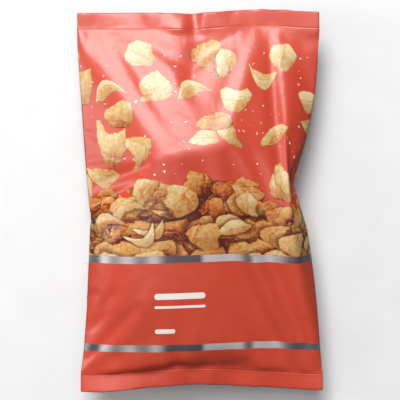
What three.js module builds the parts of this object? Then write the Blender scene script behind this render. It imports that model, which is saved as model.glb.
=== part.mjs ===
// A filled pillow bag of crisps, lying on its back with the printed front up.
// Millimetres, +Z up. +Y runs from the bottom seal to the top seal, +X is the right side seen from above.
// The film is shut all round, so the bag is one solid: a front and a back panel that meet along the two
// side folds and run out into a flat seal at each end.
import * as THREE from "three";
import { mergeVertices } from "three/addons/utils/BufferGeometryUtils.js";

// Overall sizes of the filled bag
const sealWidth = 195; // flat width of the film tube, seen along both seals
const bagLength = 304; // outer edge of one seal to outer edge of the other
const sealDepth = 14; // the welded band at each end
const sealThickness = 1; // two layers of film, pressed together
const foldHeight = 28; // side folds and seals above the surface that the bag lies on
const crownHeight = 30.5; // front panel above the side folds
const bellyDepth = 31; // back panel below the side folds, before the surface flattens it
const bellyRound = 3; // how gently the flattened patch begins
const fullnessPower = 2; // a higher power fills the bag closer to its seals
const fullnessEase = { top: 1.15, bottom: 0.85 };
const archPower = { plain: 2.4, squarer: 1.6 }; // of a panel's arch, plain at the middle and squarer at the seals
const archEase = { plain: 0.9, squarer: -0.1 };
const edgePower = 20; // how close to the side folds the gauge of the welded band ends

// The filled body pulls the side folds in: a round waist on the left, a sharp notch on the right.
// Each pair is a place along the bag and how far the fold is drawn in there.
const leftDrawnIn = [
  [-138, 1], [-122, 2.2], [-95, 4.2], [-76, 6], [-51, 7.9], [-32, 9], [-19, 9.4], [-6, 9.3],
  [6, 7.9], [19, 5.7], [45, 3.6], [64, 2.2], [95, 0.5], [138, 0],
];
const rightDrawnIn = [
  [-138, 1], [-122, 1.5], [-97, 3.2], [-77, 4.9], [-52, 8], [-32, 11], [-20, 13.5], [-7, 16.5],
  [5, 20.5], [11, 22], [19, 20.5], [32, 16.5], [45, 13], [64, 8], [83, 5], [112, 1.5], [138, 0],
];
const lean = 0.0122; // the bag lies turned a little to the left
const bottomNarrow = 0.75; // each end of the bottom seal is this much shorter

// How far the outer edge of each seal rises or falls along the bag, at places across it
const topEdge = [
  [-99, -0.5], [-56, -0.8], [-16, -2], [0, -1.2], [16, -0.1], [32, 1], [49, 2.1], [65, 1.8], [81, 0.2], [99, -0.6],
];
const bottomEdge = [
  [-99, 0.7], [-80, 0.8], [-64, 2.4], [-48, 3.7], [-32, 4.7], [-16, 5.3], [0, 5.6], [16, 4.8], [32, 3.6],
  [49, 2.9], [65, 1.8], [81, 0.5], [99, 0.3],
];

// Slope of each seal's flap, at places across it
const topFlap = [
  [-99, -0.05], [-70, -0.12], [-52, -0.24], [-30, 0.05], [-10, -0.26], [2, 0.1], [24, -0.24], [45, 0],
  [70, 0.08], [99, -0.05],
];
const bottomFlap = [
  [-99, 0.1], [-84, 0.3], [-60, 0.26], [-38, 0.02], [-15, 0.1], [8, -0.08], [40, 0.12], [70, -0.05], [99, 0.12],
];

// Waves of the seals, where the film beside them is gathered
const topWave = { height: 2.2, pitch: 128, phase: 0.6, lean: 1.4 };
const bottomWave = { height: 3.4, pitch: 210, phase: 1.57, lean: -3.2 };
const topSealFolds = [
  { at: -15, height: 2.4, reach: 19 },
  { at: -3, height: -2.4, reach: 10 },
  { at: 24, height: 1.4, reach: 25 },
];

// Pleats that run out of each seal into the panels
const pleats = { height: 1.5, pitch: 27, reach: 24, drift: 2.1, driftPitch: 120, rise: 6, backShift: 9 };

// Long folds of the front panel: a trough has a positive depth, a ridge a negative one
const frontFolds = [
  { from: [-2, 146], to: [-9, 76], depth: 5, halfWidth: 10 },
  { from: [-17, 140], to: [-13, 60], depth: -2, halfWidth: 10 },
  { from: [-70, 140], to: [-28, 56], depth: -2, halfWidth: 14 },
  { from: [-44, 30], to: [34, 52], depth: -3, halfWidth: 12 },
  { from: [8, 18], to: [52, -62], depth: 8, halfWidth: 24 },
  { from: [88, 10], to: [62, 14], depth: 6, halfWidth: 9 },
  { from: [70, 12], to: [80, -104], depth: -4, halfWidth: 11 },
  { from: [-90, -20], to: [-66, -24], depth: 5, halfWidth: 8 },
  { from: [-80, -128], to: [78, -132], depth: 3, halfWidth: 10 },
];

const reliefGain = 3.2; // folds and pleats reach their full depth at this inverse share of the fullness
const foldFlat = 0.2; // share of a fold, each way from its middle, that has its full depth
const foldEnd = 0.42; // share of its length over which it then runs out

// How finely the panels are divided
const across = 38;
const bodyRows = 40;
const sealRows = 2;
const crowding = 0.55; // 0 spaces the rows evenly, 1 crowds them towards the seals

const halfWidth = sealWidth / 2;
const halfLength = bagLength / 2;
const bodyHalfLength = halfLength - sealDepth;

// 1 in the middle of a stretch, 0 at its ends and past them
function hump(distance, reach) {
  const t = distance / reach;
  return Math.abs(t) < 1 ? (1 - t * t) ** 2 : 0;
}

// Value at a place between the pairs of a table, and the same with its corners rounded off
function lineAt(table, at) {
  for (let i = 1; i < table.length; i += 1) {
    const [low, value] = table[i - 1];
    const [high, next] = table[i];
    if (at <= high) {
      return value + ((next - value) * Math.max(0, at - low)) / (high - low);
    }
  }
  return table[table.length - 1][1];
}

function softLine(table, at) {
  const near = [-8, -4, 0, 4, 8];
  return near.reduce((sum, shift) => sum + lineAt(table, at + shift), 0) / near.length;
}

// Outline of the bag seen from above: x of the left and right side fold at a place along the bag
function leftSide(y) {
  return softLine(leftDrawnIn, y) - halfWidth + narrowed(y) - lean * y;
}

function rightSide(y) {
  return halfWidth - narrowed(y) - softLine(rightDrawnIn, y) - lean * y;
}

function narrowed(y) {
  return y > 0 ? 0 : bottomNarrow * (Math.abs(y) / halfLength) ** 6;
}

// How full the bag is at a place along it: 0 at the seals, 1 in the middle
function fullness(y) {
  const t = Math.min(1, Math.abs(y) / bodyHalfLength);
  return (1 - t ** fullnessPower) ** (y > 0 ? fullnessEase.top : fullnessEase.bottom);
}

// Arch of a panel from side fold to side fold, with s from -1 to 1
function arch(s, y) {
  const square = 1 - fullness(y);
  const power = archPower.plain + archPower.squarer * square;
  return (1 - Math.abs(s) ** power) ** (archEase.plain + archEase.squarer * square);
}

// Height of the two seals and of the side folds between them
function midHeight(x, y) {
  const wave = y > 0 ? topWave : bottomWave;
  const nearSeal = (Math.abs(y) / halfLength) ** 4;
  let ripple = wave.height * Math.cos((2 * Math.PI * x) / wave.pitch + wave.phase);
  if (y > 0) {
    for (const { at, height, reach } of topSealFolds) {
      ripple += height * hump(x - at, reach);
    }
  }
  const flap = Math.max(0, Math.abs(y) - bodyHalfLength) * softLine(y > 0 ? topFlap : bottomFlap, x);
  return foldHeight + flap + nearSeal * (ripple + (wave.lean * x) / halfWidth);
}

function foldDepth(x, y) {
  let sum = 0;
  for (const { from, to, depth, halfWidth: reach } of frontFolds) {
    const along = new THREE.Vector2(to[0] - from[0], to[1] - from[1]);
    const length = along.length();
    along.divideScalar(length);
    const offset = new THREE.Vector2(x - from[0], y - from[1]);
    const run = offset.dot(along) / length;
    const aside = Math.abs(offset.cross(along));
    const fade = hump(Math.max(0, Math.abs(run - 0.5) - foldFlat), foldEnd);
    sum += depth * fade * hump(aside, 2 * reach);
  }
  return sum;
}

function pleatHeight(x, y) {
  const fromSeal = bodyHalfLength - Math.abs(y);
  const drift = pleats.drift * Math.sign(y) * Math.sin((2 * Math.PI * x) / pleats.driftPitch);
  const turn = (2 * Math.PI * x) / pleats.pitch + drift;
  const rise = Math.min(1, Math.max(0, fromSeal) / pleats.rise);
  return pleats.height * rise * Math.exp(-Math.max(0, fromSeal) / pleats.reach) * Math.cos(turn);
}

// The surface that the bag lies on presses the back panel flat
function pressedFlat(z) {
  if (z >= bellyRound) {
    return z;
  }
  return z <= -bellyRound ? 0 : (z + bellyRound) ** 2 / (4 * bellyRound);
}

// How far the shape of the nearer seal's edge moves a point along the bag
function edgeShift(x, y) {
  return (Math.abs(y) / halfLength) ** 2 * softLine(y > 0 ? topEdge : bottomEdge, x);
}

// A point of the front (side 1) or back (side -1) panel. s runs across from -1 to 1, y along the bag.
function panelPoint(s, y, side) {
  const left = leftSide(y);
  const right = rightSide(y);
  const x = (left + right) / 2 + (s * (right - left)) / 2;
  const full = fullness(y) * arch(s, y);
  const middle = midHeight(x, y);
  const gauge = (sealThickness / 2) * (1 - s ** edgePower);
  const relief = Math.min(1, full * reliefGain);
  const place = y + edgeShift(x, y);
  if (side > 0) {
    const raised = crownHeight * full + relief * (pleatHeight(x, y) - foldDepth(x, y));
    return new THREE.Vector3(x, place, middle + gauge + raised);
  }
  const sunk = bellyDepth * full - relief * pleatHeight(x + pleats.backShift, y);
  return new THREE.Vector3(x, place, pressedFlat(middle - gauge - sunk));
}

// Stations along the bag, closer together towards the seals
function stations() {
  const rows = [];
  for (let i = 0; i < sealRows; i += 1) {
    rows.push(-halfLength + (sealDepth * i) / sealRows);
  }
  for (let i = 0; i <= bodyRows; i += 1) {
    const even = -1 + (2 * i) / bodyRows;
    const eased = Math.sin((even * Math.PI) / 2);
    rows.push(bodyHalfLength * ((1 - crowding) * even + crowding * eased));
  }
  for (let i = 1; i <= sealRows; i += 1) {
    rows.push(bodyHalfLength + (sealDepth * i) / sealRows);
  }
  return rows;
}

// The whole skin: both panels share the side folds, and a narrow rim closes the end of each seal
function bagGeometry() {
  const rows = stations();
  const positions = [];
  const faces = [];
  const ring = 2 * across; // points around one station: the front from left to right, then the back
  for (const y of rows) {
    for (let i = 0; i <= across; i += 1) {
      positions.push(...panelPoint(-1 + (2 * i) / across, y, 1).toArray());
    }
    for (let i = across - 1; i >= 1; i -= 1) {
      positions.push(...panelPoint(-1 + (2 * i) / across, y, -1).toArray());
    }
  }
  for (let row = 0; row < rows.length - 1; row += 1) {
    for (let i = 0; i < ring; i += 1) {
      const a = row * ring + i;
      const b = row * ring + ((i + 1) % ring);
      faces.push(a, b, b + ring, a, b + ring, a + ring);
    }
  }
  const lastRow = (rows.length - 1) * ring;
  for (let i = 0; i < across; i += 1) {
    const front = i;
    const frontNext = i + 1;
    const back = (ring - i) % ring;
    const backNext = ring - i - 1;
    if (i > 0) {
      faces.push(front, back, backNext);
      faces.push(lastRow + front, lastRow + backNext, lastRow + back);
    }
    if (i < across - 1) {
      faces.push(front, backNext, frontNext);
      faces.push(lastRow + front, lastRow + frontNext, lastRow + backNext);
    }
  }
  const geometry = new THREE.BufferGeometry();
  geometry.setAttribute("position", new THREE.Float32BufferAttribute(positions, 3));
  geometry.setIndex(faces);
  return mergeVertices(geometry, 1e-4);
}

const film = new THREE.MeshStandardMaterial({ color: 0xd9604a, roughness: 0.32, metalness: 0.05 });

// Shift the bag so that the middle of its own box lies over the origin
const geometry = bagGeometry();
geometry.computeBoundingBox();
const middle = geometry.boundingBox.getCenter(new THREE.Vector3());
geometry.translate(-middle.x, -middle.y, -geometry.boundingBox.min.z);
geometry.computeVertexNormals();

const crispBag = new THREE.Mesh(geometry, film);
crispBag.name = "crisp_bag";

const bag = new THREE.Group();
bag.add(crispBag);

export default bag;
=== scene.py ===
# A shut bag of crisps in printed film, lying on its back and seen from straight above.
# The film starts as a flat tube with a weld at each end. Cloth simulation fills it with air, while its
# welds, side folds and main creases are drawn to the places that they take in the filled bag.
import math

import bmesh
import bpy
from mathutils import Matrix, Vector, noise


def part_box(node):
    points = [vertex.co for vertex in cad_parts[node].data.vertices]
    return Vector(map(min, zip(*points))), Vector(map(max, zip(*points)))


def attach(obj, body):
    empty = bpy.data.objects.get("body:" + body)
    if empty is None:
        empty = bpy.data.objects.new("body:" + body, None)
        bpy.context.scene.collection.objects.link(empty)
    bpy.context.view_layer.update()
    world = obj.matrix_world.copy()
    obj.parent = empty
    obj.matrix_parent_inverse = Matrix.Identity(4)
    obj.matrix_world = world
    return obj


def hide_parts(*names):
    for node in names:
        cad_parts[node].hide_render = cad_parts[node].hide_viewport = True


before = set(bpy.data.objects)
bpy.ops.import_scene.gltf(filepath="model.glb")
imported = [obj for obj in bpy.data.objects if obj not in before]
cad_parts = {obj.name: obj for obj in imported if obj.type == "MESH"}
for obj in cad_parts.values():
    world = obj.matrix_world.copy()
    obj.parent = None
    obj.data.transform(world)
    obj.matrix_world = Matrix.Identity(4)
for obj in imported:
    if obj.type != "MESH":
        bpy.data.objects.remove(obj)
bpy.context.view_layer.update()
mm = 0.001

# The film laid flat, in millimetres. The front panel is centred on the origin.
film = {
    "width": 198.0,
    "length": 309.8,
    "weldDepth": 14.0,
    "gauge": 0.5,  # between the two layers of a weld
    "square": 3.0,  # of the simulated film
    "weldRows": 5,
    "puff": 6.0,  # how far each panel starts from the middle
    "dent": (3.0, 48.0, 1.2),  # the folds grow from it: height, pitch, how much closer along the bag
}

# Where the welds lie in the filled bag, in millimetres from its middle
weld = {
    "width": 195.0,
    "end": 152.0,
    "topWave": (2.2, 128.0, 0.6),  # height, pitch, phase
    "topLean": 1.4,
    "topEdge": ((-99, 0.4), (-56, 0.5), (-36, 0.1), (-16, -0.9), (0, -0.6), (16, 0.8), (32, 1.9), (49, 3),
                (65, 2.7), (81, 0.9), (99, 0.2)),  # place, rise
    "topFlap": ((-99, -0.05), (-70, -0.12), (-52, -0.2), (-30, 0), (-17, -0.42), (-5, -0.46), (4, 0.1),
                (24, -0.24), (45, 0), (70, 0.08), (99, -0.05)),  # place, slope
    "lean": 0.0122,  # the whole bag leans to the left, by this much of its length
    "topFolds": ((-15, 2.4, 11), (-3, -2.4, 5.5), (3.5, 0.9, 4), (24, 1.4, 14)),  # place, height, reach
    "bottomWave": (3.4, 210.0, 1.57),
    "bottomLean": -3.2,
    "bottomNarrow": 0.2,
    "bottomEdge": ((-99, 0.7), (-80, 0.8), (-64, 2.4), (-48, 3.7), (-32, 4.7), (-16, 5.3), (0, 5.6),
                   (16, 4.8), (32, 3.6), (49, 2.9), (65, 1.8), (81, 0.5), (99, 0.3)),
    "bottomFlap": ((-99, 0.1), (-84, 0.26), (-60, 0.2), (-38, -0.04), (-15, -0.08), (8, -0.2), (40, -0.08),
                   (70, -0.16), (99, 0)),
    "bottomPucker": (0.8, 7.5, 31.0),  # height, its pitch and the pitch of its drift, both over 2 pi
    "softness": (-10, -5, 0, 5, 10),  # the lines above are averaged over these shifts
}

# Outline of the filled bag: how far each side fold is drawn in, along the bag from its middle.
# The left side has a round waist, the right side a sharp notch.
sides = {
    "left": ((-138, 0.5), (-122, 2.2), (-95, 4.2), (-76, 6), (-51, 7.7), (-32, 8.8), (-19, 9), (-6, 8.6),
             (6, 6.8), (19, 4.4), (45, 2.4), (64, 1.2), (95, 0), (138, 0)),
    "right": ((-138, 0), (-122, 1.1), (-97, 3.2), (-77, 4.9), (-52, 7.2), (-32, 8.8), (-20, 11), (-7, 15),
              (5, 22.5), (11, 28.5), (19, 23), (32, 17), (45, 12.5), (64, 6.8), (83, 4), (112, 1),
              (138, 0)),
    "kinks": {"left": -18.0, "right": 11.0},
    "slackAtKink": 0.6,  # share of the side folds' spare length that is taken up at the kink and the notch
    "kinkReach": 14.0,
    "kinkWave": (4.0, 17.0, 26.0, 0.8),  # height, reach, pitch, phase
    "edgeWave": (0.9, 15.0),  # height, pitch over 2 pi
    "loose": 0.75,  # pull towards the outline, from 0 to 1
    "firm": {"left": 0.75, "right": 0.97},  # the same at the kink and at the notch
}

# Main creases of the front panel: how firmly each is drawn, from 0 to 1, then its points. A point has its
# place on the flat film and its place in the filled bag.
creases = {
    "topValley": (0.9, ((-2, 141), (-2, 138, 0)), ((-3.5, 114), (-3.5, 111, 6)), ((-7, 92), (-7, 90, 14))),
    "topCrest": (0.7, ((-15, 138), (-15, 135, 4)), ((-18, 112), (-18, 109.5, 12)),
                 ((-18, 92), (-18, 90, 22)), ((-13, 66), (-13, 64, 26))),
    "leftCrest": (0.45, ((-60, 135), (-60, 132, 4)), ((-54, 110), (-54, 107.5, 14)),
                  ((-41, 88), (-41, 86, 21.5)), ((-30, 64), (-30, 62, 26))),
    "crossRidge": (0.9, ((-36, 30), (-35.6, 33.3, 37)), ((-11, 35), (-11, 38.4, 38)),
                   ((15, 39), (14.8, 42, 36.5)), ((26.5, 47), (26.3, 50.5, 33))),
    "sideRidge": (0.5, ((79, 6), (69.5, 5, 20)), ((79, -16), (70.6, -16, 23)),
                  ((84, -44), (76.7, -43, 20)), ((89, -95), (83, -92, 9))),
    "cornerRidge": (0.3, ((66, -93), (65, -90.5, 12)), ((96, -138), (95, -134, 2.5))),
    "notchFold": (0.6, ((97, 13), (70, 11, 1)), ((88, 15), (65, 13, 9)), ((76, 18), (61, 16.5, 19))),
}

air = {
    "scale": 10.0,  # the cloth solver works on an enlarged bag
    "litres": 1.7,  # before the film gives way
    "pressure": 16.0,
    "frames": 60,
    "drawnBy": 0.6,  # share of the frames after which the film is where it is drawn to
    "stretch": 200.0,
    "shear": 0.6,  # as a share of the stretch stiffness
    "bend": 3.0,
    "damping": 8.0,
    "floorBelow": 27.5,  # the table under the bag, in millimetres as below
    "floorSize": 800.0,
    "floorGap": 0.3,
    "filmGap": 0.4,
}


def bell(distance, reach):
    return math.exp(-((distance / reach) ** 2))


def weldLine():
    # How far from the middle of the film the welds begin
    return film["length"] / 2 - film["weldDepth"]


def inWeld(y):
    return abs(y) > weldLine() - 0.01


def flatFilm():
    # The front panel is a grid, the back panel a copy of it turned over, and the two meet along their edges
    halfWidth, halfLength = film["width"] / 2, film["length"] / 2
    body = weldLine()
    across = round(film["width"] / film["square"])
    bodyRows = round(2 * body / film["square"])
    rows = bodyRows + 2 * film["weldRows"]
    bm = bmesh.new()
    panel = bm.faces.layers.int.new("panel")
    printMap = bm.loops.layers.uv.new("filmFlat")
    bakeMap = bm.loops.layers.uv.new("OFBake")
    bmesh.ops.create_grid(bm, x_segments=across, y_segments=rows, size=halfWidth)
    for v in bm.verts:
        row = round((v.co.y / halfWidth + 1) / 2 * rows)
        v.co.y = rowPlace(row, rows, body, halfLength)
    front = list(bm.faces)
    copied = bmesh.ops.duplicate(bm, geom=bm.verts[:] + bm.edges[:] + front)
    back = [part for part in copied["geom"] if isinstance(part, bmesh.types.BMFace)]
    bmesh.ops.reverse_faces(bm, faces=back)
    for faces, sign in ((front, 1), (back, -1)):
        for face in faces:
            face[panel] = sign
            for loop in face.loops:
                x, y = loop.vert.co.x, loop.vert.co.y
                along = 0.25 + x / (4 * halfWidth) if sign > 0 else 0.75 - x / (4 * halfWidth)
                loop[printMap].uv = (along, 0.5 + y / (2 * halfLength))
                loop[bakeMap].uv = loop[printMap].uv
        for v in {v for face in faces for v in face.verts}:
            s, t = v.co.x / halfWidth, v.co.y / halfLength
            if abs(s) < 0.999 and abs(t) < 0.999:
                fullness = max(0, 1 - (v.co.y / body) ** 2) * (1 - s * s)
                v.co.z = sign * (film["gauge"] / 2 + film["puff"] * math.sqrt(fullness))
    bmesh.ops.remove_doubles(bm, verts=bm.verts[:], dist=0.001)
    mesh = bpy.data.meshes.new("film")
    bm.to_mesh(mesh)
    bm.free()
    return mesh


def rowPlace(row, rows, body, halfLength):
    # Rows fall on both weld lines
    weldRows = film["weldRows"]
    if row < weldRows:
        return -halfLength + film["weldDepth"] * row / weldRows
    if row > rows - weldRows:
        return halfLength - film["weldDepth"] * (rows - row) / weldRows
    return -body + 2 * body * (row - weldRows) / (rows - 2 * weldRows)


def weldPlace(flat, layer):
    # layer is 1 on the front, -1 on the back and 0 at an edge
    s = 2 * flat.x / film["width"]
    fromWeld = abs(flat.y) - film["length"] / 2 + film["weldDepth"]
    if flat.y > 0:
        height, pitch, phase = weld["topWave"]
        z = height * math.cos(2 * math.pi * flat.x / pitch + phase) + weld["topLean"] * s
        z += sum(rise * bell(flat.x - at, reach) for at, rise, reach in weld["topFolds"])
        z += fromWeld * softLine(weld["topFlap"], flat.x)
        y = flat.y - weldShift() + softLine(weld["topEdge"], flat.x)
        width = weld["width"]
    else:
        height, pitch, phase = weld["bottomWave"]
        z = height * math.cos(2 * math.pi * flat.x / pitch + phase) + weld["bottomLean"] * s
        pucker, puckerPitch, driftPitch = weld["bottomPucker"]
        z += pucker * math.sin(flat.x / puckerPitch + 2 * math.sin(flat.x / driftPitch))
        z += fromWeld * softLine(weld["bottomFlap"], flat.x)
        y = flat.y + weldShift() + softLine(weld["bottomEdge"], flat.x)
        width = weld["width"] - weld["bottomNarrow"]
    return Vector((s * width / 2 - weld["lean"] * y, y, z + layer * film["gauge"] / 2))


def weldShift():
    return film["length"] / 2 - weld["end"]


def lineAt(points, at):
    for (low, value), (high, nextValue) in zip(points, points[1:]):
        if at <= high:
            return value + (nextValue - value) * max(0, at - low) / (high - low)
    return points[-1][1]


def softLine(points, at):
    return sum(lineAt(points, at + shift) for shift in weld["softness"]) / len(weld["softness"])


def sideFoldPlace(flat):
    body = weldLine()
    side, sign = ("right", 1) if flat.x > 0 else ("left", -1)
    topSlack = weldShift() - softLine(weld["topEdge"], flat.x)
    bottomSlack = weldShift() + softLine(weld["bottomEdge"], flat.x)
    t = flat.y / body
    fromKink = flat.y - sides["kinks"][side]
    u = min(1, max(0, 0.5 + fromKink / (2 * sides["kinkReach"])))
    atKink = u * u * (3 - 2 * u)
    share = sides["slackAtKink"] * atKink + (1 - sides["slackAtKink"]) * (t + 1) / 2
    y = flat.y + bottomSlack - (topSlack + bottomSlack) * share
    height, reach, pitch, phase = sides["kinkWave"]
    wave = height * bell(fromKink, reach) * math.cos(2 * math.pi * fromKink / pitch + phase * sign)
    height, pitch = sides["edgeWave"]
    wave += height * math.sin(flat.y / pitch + sign) * math.sqrt(1 - t * t)
    return Vector((sign * (weld["width"] / 2 - lineAt(sides[side], y)) - weld["lean"] * y, y, wave))


def sideFoldGrip(flat):
    side = "right" if flat.x > 0 else "left"
    near = bell(flat.y - sides["kinks"][side], sides["kinkReach"])
    return sides["loose"] + (sides["firm"][side] - sides["loose"]) * near


def creasePlace(flat, points):
    # None where the vertex is further than about half a square from the crease
    for (start, startTo), (end, endTo) in zip(points, points[1:]):
        a, b = Vector(start), Vector(end)
        along = b - a
        run = (flat.xy - a).dot(along) / along.length_squared
        nearest = a + along * run
        if -0.01 <= run <= 1.01 and (flat.xy - nearest).length <= film["square"] * 0.55:
            place = Vector(startTo).lerp(Vector(endTo), min(1, max(0, run)))
            return place + (flat.xy - nearest).to_3d()
    return None


def panelSums(mesh):
    # Above 0 on the front panel, below 0 on the back panel, and 0 where the two meet
    sums = [0] * len(mesh.vertices)
    for face, panel in zip(mesh.polygons, mesh.attributes["panel"].data):
        for index in face.vertices:
            sums[index] += panel.value
    return sums


def drawnPlaces(mesh):
    # Where the simulation draws vertices to, and how firmly
    sums = panelSums(mesh)
    places = {}
    for v in mesh.vertices:
        side = (sums[v.index] > 0) - (sums[v.index] < 0)
        if inWeld(v.co.y):
            places[v.index] = (weldPlace(v.co, side), 1.0)
        elif side == 0:
            places[v.index] = (sideFoldPlace(v.co), sideFoldGrip(v.co))
        elif side > 0:
            for firmness, *points in creases.values():
                place = creasePlace(v.co, points)
                if place:
                    places[v.index] = (place, firmness)
    return places


def roughened(mesh):
    # A slightly uneven film, so that it buckles as film does
    body = weldLine()
    sums = panelSums(mesh)
    height, pitch, closer = film["dent"]
    for v in mesh.vertices:
        s, t = 2 * v.co.x / film["width"], v.co.y / body
        if abs(s) < 1 and abs(t) < 1:
            panelPlace = sums[v.index] * 9.1  # so that the two panels have dents of their own
            at = Vector((v.co.x / pitch, closer * v.co.y / pitch, panelPlace))
            v.co.z += height * noise.noise(at) * math.sqrt((1 - s * s) * (1 - t * t))


def drawBag(bag, places, grown):
    # Holds the drawn vertices by a vertex group, and moves them by a shape key
    held = bag.vertex_groups.new(name="held")
    for index, (place, firmness) in places.items():
        held.add([index], firmness, "REPLACE")
    bag.shape_key_add(name="flat")
    drawn = bag.shape_key_add(name="drawn")
    for index, (place, firmness) in places.items():
        drawn.data[index].co = place * grown
    drawn.value = 0
    drawn.keyframe_insert("value", frame=1)
    drawn.value = 1
    drawn.keyframe_insert("value", frame=round(air["frames"] * air["drawnBy"]))


def simulationTable(grown):
    floorPlace = (0, 0, -air["floorBelow"] * grown)
    bpy.ops.mesh.primitive_plane_add(size=air["floorSize"] * grown, location=floorPlace)
    table = bpy.context.object
    table.modifiers.new("Collision", "COLLISION")
    table.collision.thickness_outer = air["floorGap"] * grown
    table.collision.cloth_friction = 1
    return table


def addCloth(bag, grown):
    cloth = bag.modifiers.new("Cloth", "CLOTH")
    settings = cloth.settings
    settings.quality = 8
    settings.mass = 0.2
    settings.tension_stiffness = air["stretch"]
    settings.compression_stiffness = air["stretch"]
    settings.shear_stiffness = air["stretch"] * air["shear"]
    settings.bending_stiffness = air["bend"]
    settings.tension_damping = air["damping"]
    settings.compression_damping = air["damping"]
    settings.shear_damping = air["damping"]
    settings.bending_damping = 0.5
    settings.air_damping = 2
    settings.vertex_group_mass = "held"
    settings.pin_stiffness = 1
    settings.use_pressure = True
    settings.uniform_pressure_force = 0
    settings.vertex_group_pressure = "airy"
    settings.use_pressure_volume = True
    settings.target_volume = air["litres"] * (air["scale"] / 10) ** 3
    settings.pressure_factor = air["pressure"]
    settings.effector_weights.gravity = 0
    cloth.collision_settings.use_collision = True
    cloth.collision_settings.distance_min = air["filmGap"] * grown
    cloth.point_cache.frame_start = 1
    cloth.point_cache.frame_end = air["frames"]


def inflate(mesh):
    # Runs the cloth simulation on an enlarged bag, and returns the filled bag's mesh in metres
    scene = bpy.context.scene
    grown = air["scale"] * mm
    places = drawnPlaces(mesh)
    inner = [v.index for v in mesh.vertices if not inWeld(v.co.y)]
    roughened(mesh)
    for v in mesh.vertices:
        v.co *= grown
    bag = bpy.data.objects.new("inflating", mesh)
    scene.collection.objects.link(bag)
    drawBag(bag, places, grown)
    bag.vertex_groups.new(name="airy").add(inner, 1.0, "REPLACE")
    table = simulationTable(grown)
    addCloth(bag, grown)
    usualFrames = scene.frame_start, scene.frame_end
    scene.frame_start, scene.frame_end = 1, air["frames"]
    for number in range(1, air["frames"] + 1):
        scene.frame_set(number)
    evaluated = bag.evaluated_get(bpy.context.evaluated_depsgraph_get())
    filled = bpy.data.meshes.new_from_object(evaluated)
    for v in filled.vertices:
        v.co *= mm / grown
    filled.attributes.remove(filled.attributes["panel"])
    bpy.data.actions.remove(mesh.shape_keys.animation_data.action)
    bpy.data.objects.remove(bag)
    bpy.data.objects.remove(table)
    scene.frame_start, scene.frame_end = usualFrames
    scene.frame_set(1)
    return filled


# Where and how far the smallest folds are smoothed out, from 0 to 1
calm = {
    "rounds": 14,
    "along": ((-140, 0.5), (-120, 0.4), (-80, 0.2), (-10, 0.05), (40, 0.1), (70, 0.75),
              (140, 0.9)),  # place along the film, strength
    "valley": (-4.0, 9.0, 0.6, 60.0),  # place across the film, reach, share that is kept, where it ends
    "sideReach": 16.0,  # the side folds keep their outline
    "patches": ((66, 48, 24, 34, 0.85), (5, -126, 75, 15, 0.9)),  # middle, reaches, strength
}


def flatPlaces(mesh):
    # Where each vertex lies on the flat film, in millimetres from the middle of its panel
    places = {}
    for loop, corner in zip(mesh.loops, mesh.uv_layers["filmFlat"].data):
        u, w = corner.uv
        x = (2 * u - 0.5) * film["width"] if u <= 0.5 else (1.5 - 2 * u) * film["width"]
        places[loop.vertex_index] = (x, (w - 0.5) * film["length"])
    return places


def smoothedFilm(mesh, name):
    obj = bpy.data.objects.new(name, mesh)
    bpy.context.scene.collection.objects.link(obj)
    body = weldLine()
    at, reach, kept, valleyEnd = calm["valley"]
    group = obj.vertex_groups.new(name="calm")
    for index, (x, y) in flatPlaces(mesh).items():
        if abs(y) < body - 0.1:
            fromSide = film["width"] / 2 - abs(x)
            strength = lineAt(calm["along"], y)
            for middleX, middleY, reachX, reachY, most in calm["patches"]:
                strength = max(strength, most * bell(x - middleX, reachX) * bell(y - middleY, reachY))
            strength *= min(1, fromSide / calm["sideReach"])
            if y > valleyEnd:
                strength *= 1 - kept * bell(x - at, reach)
            group.add([index], strength, "REPLACE")
    smoother = obj.modifiers.new("Smooth", "SMOOTH")
    smoother.factor = 0.5
    smoother.iterations = calm["rounds"]
    smoother.vertex_group = "calm"
    finer = obj.modifiers.new("Subdivision", "SUBSURF")
    finer.levels = finer.render_levels = 1
    made = bpy.data.meshes.new_from_object(obj.evaluated_get(bpy.context.evaluated_depsgraph_get()))
    obj.modifiers.clear()
    obj.vertex_groups.clear()
    obj.data = made
    return obj


def settle(obj, liftMm):
    # Centres the bag over the CAD bag and lets it down onto the surface
    low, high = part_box("crisp_bag")
    xs = [v.co.x for v in obj.data.vertices]
    ys = [v.co.y for v in obj.data.vertices]
    zs = [v.co.z for v in obj.data.vertices]
    shift = Vector((
        (low.x + high.x - min(xs) - max(xs)) / 2,
        (low.y + high.y - min(ys) - max(ys)) / 2,
        low.z + liftMm * mm - min(zs),
    ))
    for v in obj.data.vertices:
        v.co += shift


def addNode(tree, kind, inputs=None, **settings):
    made = tree.nodes.new(kind)
    for name, value in settings.items():
        setattr(made, name, value)
    for key, value in (inputs or {}).items():
        if isinstance(value, bpy.types.NodeSocket):
            tree.links.new(value, made.inputs[key])
        else:
            made.inputs[key].default_value = value
    return made


def calc(tree, operation, first, second=0.0, third=0.0):
    return addNode(tree, "ShaderNodeMath", {0: first, 1: second, 2: third}, operation=operation).outputs[0]


def vectorCalc(tree, operation, inputs):
    return addNode(tree, "ShaderNodeVectorMath", inputs, operation=operation).outputs[0]


def flatNoise(tree, place, scale, detail, **inputs):
    given = {"Vector": place, "Scale": scale, "Detail": detail, **inputs}
    return addNode(tree, "ShaderNodeTexNoise", given, noise_dimensions="2D").outputs["Fac"]


def smoothStep(tree, value, low, high):
    # 0 at low, 1 at high, which may be the smaller of the two
    made = addNode(tree, "ShaderNodeMapRange", {"Value": value, "From Min": low, "From Max": high},
                   interpolation_type="SMOOTHSTEP")
    return made.outputs["Result"]


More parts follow.
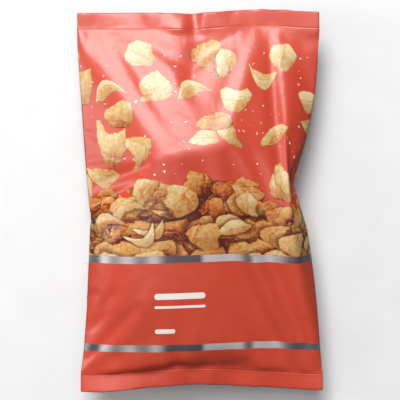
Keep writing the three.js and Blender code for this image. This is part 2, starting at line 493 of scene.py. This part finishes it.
def blend(tree, share, under, over):
    made = addNode(tree, "ShaderNodeMix", data_type="RGBA")
    for socket, value in zip((made.inputs[0], made.inputs[6], made.inputs[7]), (share, under, over)):
        if isinstance(value, bpy.types.NodeSocket):
            tree.links.new(value, socket)
        else:
            socket.default_value = value
    return made.outputs[2]


def shade(red, green, blue):
    # A colour as seen on a screen, from 0 to 255, made linear
    parts = [part / 255 for part in (red, green, blue)]
    return (*[part / 12.92 if part < 0.04 else ((part + 0.055) / 1.055) ** 2.4 for part in parts], 1)


def colourRamp(tree, value, stops):
    made = addNode(tree, "ShaderNodeValToRGB", {"Fac": value})
    elements = made.color_ramp.elements
    elements[0].position, elements[0].color = stops[0]
    elements[1].position, elements[1].color = stops[-1]
    for place, colour in stops[1:-1]:
        elements.new(place).color = colour
    return made.outputs["Color"]


# Colours of the print, as they show on screen
inks = {
    "coral": shade(214, 75, 49),
    "coralDeep": shade(206, 64, 41),
    "pale": shade(230, 206, 160),
    "cream": shade(218, 180, 118),
    "golden": shade(212, 142, 64),
    "toasted": shade(186, 86, 22),
    "dark": shade(100, 26, 4),
    "shadow": shade(72, 12, 2),
    "white": shade(250, 244, 236),
    # The two silver shades are painted reflection: a light and a dark copy of the foil
    "silver": shade(226, 218, 220),
    "silverPaintedDark": shade(104, 96, 102),
}


# One printed slice, in shares of its size. Chance adds between nothing and the second number of a pair.
crisp = {
    "halfLength": (0.8, 0.4),
    "squash": (0.4, 0.46),
    "bend": 0.16,
    "uneven": 0.55,
    "lobes": (3.0, 0.09),  # number, depth
    "crinkle": 0.1,
    "wobbleScale": 0.075,  # of the textures, for each millimetre
    "crinkleScale": 0.3,
    "streakScale": 0.5,
    "lip": (-0.15, 0.8, 0.6, 0.9),  # where it starts, chance, its curve, how uneven it is
    "light": (0.78, 0.28),  # away from the light, and what is added towards it
    "toastBase": -0.25,
    "toast": {"rim": 0.38, "lightSide": -0.28, "crinkle": 0.6, "streaks": 0.4, "wobble": 0.3,
              "lipShadow": 0.3, "overLip": 0.2, "brim": -0.26, "chance": 0.34},
    "toastColours": ((0.0, inks["pale"]), (0.22, inks["cream"]), (0.5, inks["golden"]),
                     (0.76, inks["toasted"]), (1.0, inks["dark"])),
}


def chosen(tree, pair, chance):
    least, more = pair
    return calc(tree, "MULTIPLY_ADD", chance, more, least)


def sliceGroup():
    # One layer of printed crisps: each cell of a Voronoi pattern holds a curled slice of its own
    tree = bpy.data.node_groups.new("printedSlices", "ShaderNodeTree")
    for name, kind, value in (
        ("Place", "NodeSocketVector", None),
        ("Spacing", "NodeSocketFloat", 36.0),
        ("Size", "NodeSocketFloat", 12.0),
        ("Spread", "NodeSocketFloat", 0.7),
        ("Toast", "NodeSocketFloat", 0.0),
    ):
        socket = tree.interface.new_socket(name, in_out="INPUT", socket_type=kind)
        if value is not None:
            socket.default_value = value
    for name, kind in (
        ("Color", "NodeSocketColor"),
        ("Mask", "NodeSocketFloat"),
        ("Shadow", "NodeSocketFloat"),
        ("CentreX", "NodeSocketFloat"),
        ("CentreY", "NodeSocketFloat"),
        ("Chance", "NodeSocketFloat"),
    ):
        tree.interface.new_socket(name, in_out="OUTPUT", socket_type=kind)
    given = addNode(tree, "NodeGroupInput").outputs
    place = given["Place"]
    perCell = calc(tree, "DIVIDE", 1.0, given["Spacing"])
    scaled = vectorCalc(tree, "SCALE", {0: place, "Scale": perCell})
    cells = addNode(tree, "ShaderNodeTexVoronoi",
                    {"Vector": scaled, "Scale": 1.0, "Randomness": given["Spread"]}, voronoi_dimensions="2D")
    chance = addNode(tree, "ShaderNodeSeparateColor", {"Color": cells.outputs["Color"]}).outputs
    offset = vectorCalc(tree, "SUBTRACT", {0: scaled, 1: cells.outputs["Position"]})
    away = vectorCalc(tree, "SCALE", {0: offset, "Scale": given["Spacing"]})
    middle = vectorCalc(tree, "SCALE", {0: cells.outputs["Position"], "Scale": given["Spacing"]})
    centre = addNode(tree, "ShaderNodeSeparateXYZ", {0: middle}).outputs
    turned = addNode(tree, "ShaderNodeVectorRotate",
                     {"Vector": away, "Angle": calc(tree, "MULTIPLY", chance[0], 2 * math.pi)},
                     rotation_type="Z_AXIS").outputs[0]
    local = addNode(tree, "ShaderNodeSeparateXYZ", {0: turned}).outputs

    wobble = flatNoise(tree, place, crisp["wobbleScale"], 1.0)
    crinkle = flatNoise(tree, place, crisp["crinkleScale"], 3.0)
    uneven = calc(tree, "SUBTRACT", wobble, 0.5)
    bend = calc(tree, "MULTIPLY", calc(tree, "SUBTRACT", chance[1], 0.5), crisp["bend"])
    curved = calc(tree, "MULTIPLY", bend, calc(tree, "MULTIPLY", local["X"], local["X"]))
    across = calc(tree, "SUBTRACT", local["Y"], curved)
    longHalf = calc(tree, "MULTIPLY", given["Size"], chosen(tree, crisp["halfLength"], chance[2]))
    otherChance = calc(tree, "FRACT", calc(tree, "MULTIPLY", chance[0], 7.3))
    squash = chosen(tree, crisp["squash"], otherChance)
    shortHalf = calc(tree, "MULTIPLY", longHalf, squash)
    ex = calc(tree, "DIVIDE", local["X"], longHalf)
    ey = calc(tree, "DIVIDE", across, shortHalf)
    ex2 = calc(tree, "MULTIPLY", ex, ex)
    oval = calc(tree, "SQRT", calc(tree, "MULTIPLY_ADD", ey, ey, ex2))
    leaf = calc(tree, "ADD", calc(tree, "ABSOLUTE", ey), ex2)
    pointed = smoothStep(tree, chance[1], 0.25, 0.75)
    plain = calc(tree, "MULTIPLY_ADD", calc(tree, "SUBTRACT", leaf, oval), pointed, oval)
    radius = calc(tree, "MULTIPLY_ADD", uneven, crisp["uneven"], plain)
    around = calc(tree, "ARCTAN2", ey, ex)
    number, depth = crisp["lobes"]
    lobeTurn = calc(tree, "MULTIPLY", chance[2], 40.0)
    lobes = calc(tree, "SINE", calc(tree, "MULTIPLY_ADD", around, number, lobeTurn))
    radius = calc(tree, "MULTIPLY_ADD", lobes, depth, radius)
    reach = calc(tree, "MULTIPLY_ADD", calc(tree, "SUBTRACT", crinkle, 0.5), crisp["crinkle"], radius)
    mask = smoothStep(tree, reach, 1.02, 0.98)
    shadow = smoothStep(tree, reach, 1.6, 0.95)

    # Each slice is cupped: one long edge curls over and shows its golden underside
    lipStart, lipChance, lipCurve, lipUneven = crisp["lip"]
    lipPlace = calc(tree, "MULTIPLY_ADD", chance[2], lipChance, lipStart)
    lip = calc(tree, "SUBTRACT", ey, calc(tree, "MULTIPLY_ADD", ex2, lipCurve, lipPlace))
    lip = calc(tree, "MULTIPLY_ADD", uneven, lipUneven, lip)
    overLip = smoothStep(tree, lip, -0.015, 0.015)
    lipShadow = calc(tree, "MULTIPLY", smoothStep(tree, lip, -0.4, 0.0), calc(tree, "SUBTRACT", 1.0, overLip))
    brim = calc(tree, "MULTIPLY", smoothStep(tree, lip, 0.16, 0.0), overLip)
    rim = smoothStep(tree, reach, 0.88, 1.0)
    # Light from the upper left of the pack, so each slice is browner on its other side
    turnedTo = addNode(tree, "ShaderNodeSeparateXYZ", {0: away}).outputs
    slope = calc(tree, "SUBTRACT", turnedTo["Y"], calc(tree, "MULTIPLY", turnedTo["X"], 0.5))
    lightSide = smoothStep(tree, calc(tree, "DIVIDE", slope, given["Size"]), -0.9, 0.7)
    streaks = flatNoise(tree, turned, crisp["streakScale"], 2.0, Distortion=0.6)
    toast = crisp["toastBase"]
    for part, value in (
        ("rim", rim), ("lightSide", lightSide), ("crinkle", crinkle), ("streaks", streaks),
        ("wobble", wobble), ("lipShadow", lipShadow), ("overLip", overLip), ("brim", brim),
        ("chance", calc(tree, "SUBTRACT", chance[2], 0.5)),
    ):
        toast = calc(tree, "MULTIPLY_ADD", value, crisp["toast"][part], toast)
    toast = calc(tree, "ADD", toast, given["Toast"])
    colour = colourRamp(tree, toast, crisp["toastColours"])
    light = chosen(tree, crisp["light"], lightSide)
    lit = vectorCalc(tree, "SCALE", {0: colour, "Scale": light})

    out = addNode(tree, "NodeGroupOutput")
    for name, value in (("Color", lit), ("Mask", mask), ("Shadow", shadow), ("CentreX", centre["X"]),
                        ("CentreY", centre["Y"]), ("Chance", chance[2])):
        tree.links.new(value, out.inputs[name])
    return tree


# The print, in millimetres on the flat film: loose slices above, a full-width bank of slices below them,
# two silver stripes and plain white marks
artwork = {
    "bankMiddle": 6.0,
    "bankWave": (9.0, 34.0, 1.9),  # height, pitch over 2 pi, phase
    "bankFoot": -44.0,
    "bankGround": (9.0, 12.0),  # the dark ground begins this far below the top of the bank
    "bankShadow": 0.75,
    "bankSpread": 0.85,  # from 0, in rows, to 1, at random
    "bankFlatness": 1.35,
    "bankLayers": ((21.0, 12.0, 0.5), (23.0, 13.0, 0.42), (22.0, 13.0, 0.34), (25.0, 14.0, 0.28),
                   (28.0, 14.5, 0.16), (35.0, 15.5, 0.0)),  # from the lowest up: spacing, size, toast
    "looseTop": 122.0,
    "looseGap": 13.0,  # above the bank
    "looseSpread": 0.6,
    "looseLayers": (((220.0, 130.0), 34.0, 15.2, -0.06, 0.0),
                    ((144.0, 71.0), 60.0, 12.5, 0.02, 0.5)),  # shift, spacing, size, toast, share left out
    "saltGap": 8.0,  # above the bank
    "saltSpacing": 8.0,
    "saltJitter": 3.2,  # uneven edges
    "saltFleck": (0.04, 0.09),  # the smallest, in shares of the spacing, and what chance adds
    "saltDrift": 1.18,  # a higher number leaves fewer flecks
    "stripes": ((-47.0, 2.8), (-118.0, 2.8)),  # middle, half width
    "marks": ((-18.0, -76.0, 20.0, 2.4), (-18.0, -84.5, 20.0, 1.0),
              (-30.0, -104.0, 8.0, 1.8)),  # middle, half length, half height
}


def bar(tree, x, y, middleX, middleY, halfLong, halfHigh):
    # A bar with round ends
    dx = calc(tree, "ABSOLUTE", calc(tree, "SUBTRACT", x, middleX))
    over = calc(tree, "MAXIMUM", calc(tree, "SUBTRACT", dx, halfLong - halfHigh), 0.0)
    dy = calc(tree, "SUBTRACT", y, middleY)
    squared = calc(tree, "ADD", calc(tree, "MULTIPLY", over, over), calc(tree, "MULTIPLY", dy, dy))
    reach = calc(tree, "SQRT", squared)
    return smoothStep(tree, reach, halfHigh + 0.1, halfHigh - 0.1)


def sliceLayer(tree, slices, place, shifts, spacing, size, spread, toast, flatness=1.0):
    # flatness above 1 shows the slices lying in a heap
    shiftX, shiftY = shifts
    moved = vectorCalc(tree, "MULTIPLY_ADD", {0: place, 1: (1, flatness, 1), 2: (shiftX, shiftY, 0)})
    made = addNode(tree, "ShaderNodeGroup", node_tree=slices)
    tree.links.new(moved, made.inputs["Place"])
    for name, value in (("Spacing", spacing), ("Size", size), ("Spread", spread), ("Toast", toast)):
        made.inputs[name].default_value = value
    centreX = calc(tree, "SUBTRACT", made.outputs["CentreX"], shiftX)
    centreY = calc(tree, "DIVIDE", calc(tree, "SUBTRACT", made.outputs["CentreY"], shiftY), flatness)
    return made.outputs, centreX, centreY


def bankTop(tree, alongX):
    height, pitch, phase = artwork["bankWave"]
    wave = calc(tree, "SINE", calc(tree, "MULTIPLY_ADD", alongX, 1 / pitch, phase))
    second = calc(tree, "SINE", calc(tree, "MULTIPLY", alongX, 2.3 / pitch))
    return calc(tree, "MULTIPLY_ADD", wave, height,
                calc(tree, "MULTIPLY_ADD", second, height * 0.4, artwork["bankMiddle"]))


def saltMask(tree, place, x, y):
    # Small uneven flecks in drifts
    jitter = addNode(tree, "ShaderNodeTexNoise", {"Vector": place, "Scale": 0.6, "Detail": 1.0},
                     noise_dimensions="2D").outputs["Color"]
    far = artwork["saltJitter"]
    shaken = vectorCalc(tree, "MULTIPLY_ADD", {0: jitter, 1: (far, far, 0), 2: place})
    grains = addNode(tree, "ShaderNodeTexVoronoi",
                     {"Vector": shaken, "Scale": 1 / artwork["saltSpacing"], "Randomness": 1.0},
                     voronoi_dimensions="2D")
    chance = addNode(tree, "ShaderNodeSeparateColor", {"Color": grains.outputs["Color"]}).outputs
    grainSize = chosen(tree, artwork["saltFleck"], calc(tree, "POWER", chance[0], 3.0))
    inGrain = calc(tree, "LESS_THAN", grains.outputs["Distance"], grainSize)
    drift = flatNoise(tree, place, 0.03, 1.0)
    dense = calc(tree, "MULTIPLY_ADD", drift, 1.6, calc(tree, "MULTIPLY", chance[1], 0.6))
    some = calc(tree, "GREATER_THAN", dense, artwork["saltDrift"])
    above = calc(tree, "GREATER_THAN", y, calc(tree, "ADD", bankTop(tree, x), artwork["saltGap"]))
    below = calc(tree, "LESS_THAN", y, artwork["looseTop"])
    return calc(tree, "MULTIPLY", calc(tree, "MULTIPLY", inGrain, some), calc(tree, "MULTIPLY", above, below))


def withLooseSlices(tree, slices, place, colour):
    for shifts, spacing, size, toast, leftOut in artwork["looseLayers"]:
        made, centreX, centreY = sliceLayer(tree, slices, place, shifts, spacing, size,
                                            artwork["looseSpread"], toast)
        lowest = calc(tree, "ADD", bankTop(tree, centreX), artwork["looseGap"])
        free = calc(tree, "GREATER_THAN", centreY, lowest)
        low = calc(tree, "LESS_THAN", centreY, artwork["looseTop"])
        shown = calc(tree, "MULTIPLY", calc(tree, "MULTIPLY", free, low),
                     calc(tree, "GREATER_THAN", made["Chance"], leftOut))
        colour = blend(tree, calc(tree, "MULTIPLY", made["Mask"], shown), colour, made["Color"])
    return colour


def withBank(tree, slices, place, x, y, colour):
    # A dark ground, then layers of slices that cast a soft shadow on what is under them
    ground = smoothStep(tree, calc(tree, "SUBTRACT", bankTop(tree, x), y), *artwork["bankGround"])
    foot = calc(tree, "GREATER_THAN", y, artwork["bankFoot"])
    colour = blend(tree, calc(tree, "MULTIPLY", ground, foot), colour, inks["shadow"])
    for number, (spacing, size, toast) in enumerate(artwork["bankLayers"]):
        shifts = (17.3 * number + 5, 29.7 * number + 3)
        made, centreX, centreY = sliceLayer(tree, slices, place, shifts, spacing, size,
                                            artwork["bankSpread"], toast, artwork["bankFlatness"])
        inBank = calc(tree, "LESS_THAN", centreY, bankTop(tree, centreX))
        shown = calc(tree, "MULTIPLY", inBank, foot)
        cast = calc(tree, "MULTIPLY", calc(tree, "MULTIPLY", made["Shadow"], shown),
                    calc(tree, "MULTIPLY", ground, artwork["bankShadow"]))
        colour = blend(tree, cast, colour, inks["shadow"])
        colour = blend(tree, calc(tree, "MULTIPLY", made["Mask"], shown), colour, made["Color"])
    return colour


def stripeMask(tree, y):
    mask = 0.0
    for middle, halfHigh in artwork["stripes"]:
        reach = calc(tree, "ABSOLUTE", calc(tree, "SUBTRACT", y, middle))
        stripe = smoothStep(tree, reach, halfHigh + 0.15, halfHigh - 0.15)
        mask = calc(tree, "MAXIMUM", mask, stripe)
    return mask


# How the film's surface takes the light
finish = {
    "roughness": (0.42, 0.1),  # least, and what is added in places
    "glossScale": 0.05,
    "crinkleScale": 0.07,
    "weldLine": (0.9, 0.2, -0.6),  # half width of the pressed line outside and inside, its depth
    "bumpHeight": 0.0006,
    "bumpStrength": 0.5,
    "foilMetal": 0.5,
    "sockets": {"IOR": 1.5, "Specular IOR Level": 0.5, "Coat Weight": 0.6, "Coat Roughness": 0.22,
                "Coat IOR": 1.45},
}


def filmMaterial():
    material = bpy.data.materials.new("printedFilm")
    material.use_nodes = True
    tree = material.node_tree
    shader = tree.nodes["Principled BSDF"]
    flat = addNode(tree, "ShaderNodeUVMap", uv_map="filmFlat").outputs[0]
    place = vectorCalc(tree, "MULTIPLY_ADD", {0: flat, 1: (2 * film["width"], film["length"], 0),
                                              2: (-film["width"] / 2, -film["length"] / 2, 0)})
    x, y = addNode(tree, "ShaderNodeSeparateXYZ", {0: place}).outputs[:2]
    slices = sliceGroup()

    # The print, from the coral field up
    cloud = flatNoise(tree, place, 0.02, 2.0)
    colour = blend(tree, cloud, inks["coral"], inks["coralDeep"])
    colour = blend(tree, saltMask(tree, place, x, y), colour, inks["white"])
    colour = withLooseSlices(tree, slices, place, colour)
    colour = withBank(tree, slices, place, x, y, colour)
    for middleX, middleY, halfLong, halfHigh in artwork["marks"]:
        colour = blend(tree, bar(tree, x, y, middleX, middleY, halfLong, halfHigh), colour, inks["white"])
    foil = stripeMask(tree, y)
    # Painted reflection on the silver stripes: light and dark bands along the film stand in for the foil's
    # mirrored light
    foilPaintedGleam = addNode(tree, "ShaderNodeTexNoise",
                    {"W": calc(tree, "MULTIPLY", x, 0.03), "Scale": 1.0, "Detail": 1.0},
                    noise_dimensions="1D").outputs["Fac"]
    foilPaintedReflection = blend(tree, smoothStep(tree, foilPaintedGleam, 0.58, 0.42), inks["silver"], inks["silverPaintedDark"])
    colour = blend(tree, foil, colour, foilPaintedReflection)

    # Fine unevenness of the film, and the pressed line where a weld begins
    crinkle = flatNoise(tree, place, finish["crinkleScale"], 3.0, Roughness=0.5)
    fromWeld = calc(tree, "SUBTRACT", calc(tree, "ABSOLUTE", y), weldLine())
    outside, within, depth = finish["weldLine"]
    pressed = smoothStep(tree, calc(tree, "ABSOLUTE", fromWeld), outside, within)
    height = calc(tree, "MULTIPLY_ADD", pressed, depth, crinkle)
    bump = addNode(tree, "ShaderNodeBump",
                   {"Height": height, "Strength": finish["bumpStrength"], "Distance": finish["bumpHeight"]})
    tree.links.new(bump.outputs[0], shader.inputs["Normal"])
    tree.links.new(bump.outputs[0], shader.inputs["Coat Normal"])

    gloss = flatNoise(tree, place, finish["glossScale"], 2.0)
    tree.links.new(chosen(tree, finish["roughness"], gloss), shader.inputs["Roughness"])
    tree.links.new(colour, shader.inputs["Base Color"])
    tree.links.new(calc(tree, "MULTIPLY", foil, finish["foilMetal"]), shader.inputs["Metallic"])
    for name, value in finish["sockets"].items():
        shader.inputs[name].default_value = value
    return material


# Small gathers of the film beside the welds, in millimetres
gathers = {
    "top": {"depth": 0.4, "pitch": 9.0, "long": 34.0, "reach": 20.0},
    "bottom": {"depth": 1.3, "pitch": 15.0, "long": 40.0, "reach": 24.0},
    "bunch": (37.0, 90.0),  # the gathers are deeper in places: pitch across and along the bag
    "start": 4.0,  # they grow to their full depth over this much film
    "weldRipple": (0.35, 11.0, 30.0),  # height, pitch across and along the bag
    "weldStart": 3.0,
}


def gather(obj):
    # Moves the finished film in and out along its own normals. A fixed third coordinate picks each noise.
    mesh = obj.data
    body = weldLine()
    flat = flatPlaces(mesh)
    bunchAcross, bunchAlong = gathers["bunch"]
    rippleHeight, rippleAcross, rippleAlong = gathers["weldRipple"]
    moved = []
    for v in mesh.vertices:
        x, y = flat[v.index]
        settings = gathers["top"] if y > 0 else gathers["bottom"]
        inside = body - abs(y)
        wave = noise.noise(Vector((x / settings["pitch"], y / settings["long"], 4.0)))
        strength = 0.4 + 1.2 * max(0, noise.noise(Vector((x / bunchAcross, y / bunchAlong, 8.0))) + 0.2)
        if inside > 0:
            rise = min(1, inside / gathers["start"]) * math.exp(-inside / settings["reach"])
            moved.append(settings["depth"] * wave * strength * rise * 2)
        else:
            edge = min(1, -inside / gathers["weldStart"])
            ripple = noise.noise(Vector((x / rippleAcross, y / rippleAlong, 1.0 if y > 0 else 5.0)))
            moved.append(rippleHeight * ripple * edge * (1 if v.normal.z > 0 else -1))
    normals = [v.normal.copy() for v in mesh.vertices]
    for v, normal, distance in zip(mesh.vertices, normals, moved):
        v.co += normal * distance * mm


seam = {"width": 12.0, "gap": 0.25, "thick": 0.35}


def backSeam(bag):
    # The film's two long edges are welded into a strip down the middle of the back
    mesh = bag.data.copy()
    mesh.uv_layers.remove(mesh.uv_layers["OFBake"])
    bm = bmesh.new()
    bm.from_mesh(mesh)
    uv = bm.loops.layers.uv["filmFlat"]
    halfStrip = seam["width"] / 2 / (2 * film["width"])
    away = [face for face in bm.faces
            if abs(sum(loop[uv].uv.x for loop in face.loops) / len(face.loops) - 0.75) > halfStrip]
    bmesh.ops.delete(bm, geom=away, context="FACES")
    bmesh.ops.smooth_vert(bm, verts=bm.verts[:], factor=0.5,
                          use_axis_x=True, use_axis_y=True, use_axis_z=True)
    bm.normal_update()
    for v in bm.verts:
        v.co += v.normal * seam["gap"] * mm
    bmesh.ops.solidify(bm, geom=bm.faces[:], thickness=-seam["thick"] * mm)
    bmesh.ops.recalc_face_normals(bm, faces=bm.faces[:])
    bm.to_mesh(mesh)
    bm.free()
    strip = bpy.data.objects.new("film_back_seam", mesh)
    bpy.context.scene.collection.objects.link(strip)
    return strip


def buildFilm():
    filled = inflate(flatFilm())
    print("film inflated:", len(filled.vertices), "vertices")
    bag = smoothedFilm(filled, "film_bag")
    gather(bag)
    settle(bag, seam["gap"] + seam["thick"])
    bag.data.shade_smooth()
    bag.data.materials.append(filmMaterial())
    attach(bag, "root")
    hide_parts("crisp_bag")
    strip = backSeam(bag)
    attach(strip, "root")
    print("film bag:", len(bag.data.polygons), "faces; seam:", len(strip.data.polygons))


# The camera is in millimetres, the lights' places and sizes are in metres
studio = {
    "lens": 100.0,
    "field": 316.8,  # across the picture, at the height of the side folds
    "focusHeight": 33.0,
    "floorShades": (shade(246, 246, 246), shade(236, 236, 236)),
    "aim": (0, 0, 0.03),
    "world": 0.12,
    "lights": (
        {"name": "keySoftbox", "at": (-0.45, 1.68, 1.8), "size": (1.3, 1.1), "watts": 58.0},
        {"name": "overheadSoftbox", "at": (-0.2, 0.4, 2.3), "size": (2.0, 2.0), "watts": 17.0},
        {"name": "leftStrip", "at": (-1.3, 0.1, 0.45), "size": (0.3, 0.9), "watts": 4.5},
    ),
}


def buildFloor():
    bpy.ops.mesh.primitive_plane_add(size=6, location=(0, 0, 0))
    floor = bpy.context.object
    floor.name = "studio_floor"
    paper = bpy.data.materials.new("floorPaper")
    paper.use_nodes = True
    tree = paper.node_tree
    where = addNode(tree, "ShaderNodeTexCoord").outputs["Object"]
    grain = addNode(tree, "ShaderNodeTexNoise", {"Vector": where, "Scale": 30.0}).outputs["Fac"]
    tree.links.new(blend(tree, grain, *studio["floorShades"]),
                   tree.nodes["Principled BSDF"].inputs["Base Color"])
    tree.nodes["Principled BSDF"].inputs["Roughness"].default_value = 0.9
    floor.data.materials.append(paper)
    floor.visible_glossy = False  # the film mirrors the dark room at its edges
    floor.visible_diffuse = False


def buildLights(scene):
    for settings in studio["lights"]:
        data = bpy.data.lights.new(settings["name"], "AREA")
        data.shape = "RECTANGLE"
        data.size, data.size_y = settings["size"]
        data.energy = settings["watts"]
        light = bpy.data.objects.new(settings["name"], data)
        scene.collection.objects.link(light)
        light.location = settings["at"]
        light.rotation_euler = (Vector(studio["aim"]) - light.location).to_track_quat("-Z", "Y").to_euler()

    world = bpy.data.worlds.new("studio")
    world.use_nodes = True
    world.node_tree.nodes["Background"].inputs["Color"].default_value = (1, 1, 1, 1)
    world.node_tree.nodes["Background"].inputs["Strength"].default_value = studio["world"]
    scene.world = world
    scene.view_settings.view_transform = "Standard"


def buildCamera(scene):
    camera = bpy.data.cameras.new("overhead")
    camera.lens = studio["lens"]
    camera.sensor_width = 36
    view = bpy.data.objects.new("overhead", camera)
    scene.collection.objects.link(view)
    distance = studio["field"] * mm * camera.lens / camera.sensor_width
    view.location = (0, 0, studio["focusHeight"] * mm + distance)
    scene.camera = view


buildFilm()
buildFloor()
buildLights(bpy.context.scene)
buildCamera(bpy.context.scene)
print("studio built")
